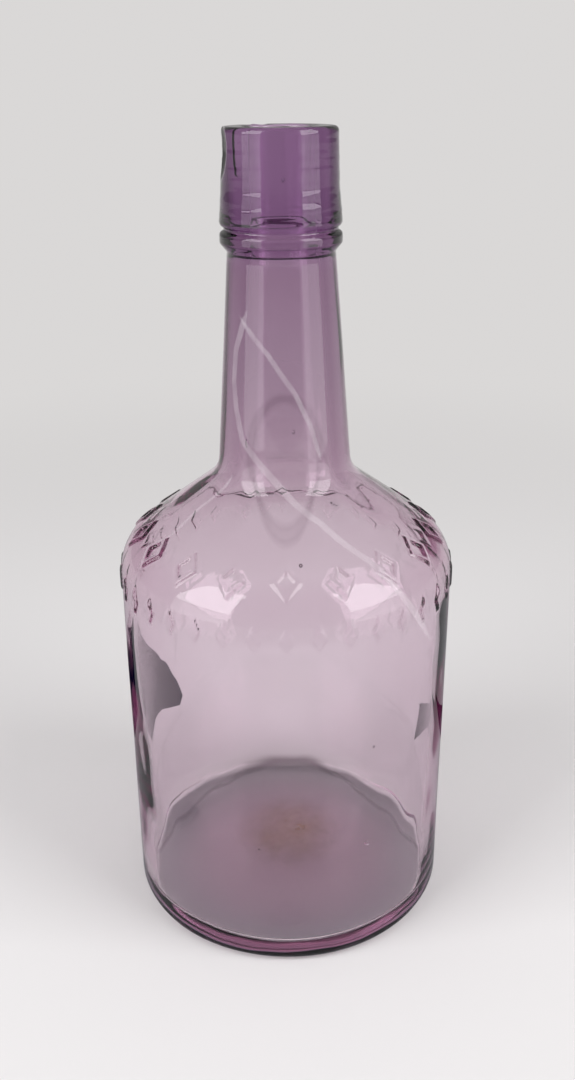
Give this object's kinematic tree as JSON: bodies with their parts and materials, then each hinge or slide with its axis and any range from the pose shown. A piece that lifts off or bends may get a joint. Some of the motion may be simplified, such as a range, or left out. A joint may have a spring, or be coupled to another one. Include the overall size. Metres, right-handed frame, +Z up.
{
  "type": "glass bottle",
  "caption": "Squat round glass bottle with a sloping shoulder, tall tapered neck, collared cork finish and a ring of raised lozenges.",
  "frame": {"origin": "on the bottle's axis, in the plane that its resting ring stands on", "axes": "+Z up along the bottle's axis, out of its mouth; -X is the side of the flake lost from the lip"},
  "size_m": [0.097, 0.097, 0.227],
  "materials": {
    "body_glass": "polished",
    "finish_glass": "polished"
  },
  "bodies": {
    "root": {"blown_body": "body_glass", "neck": "body_glass", "applied_finish": "finish_glass"}
  },
  "joints": []
}
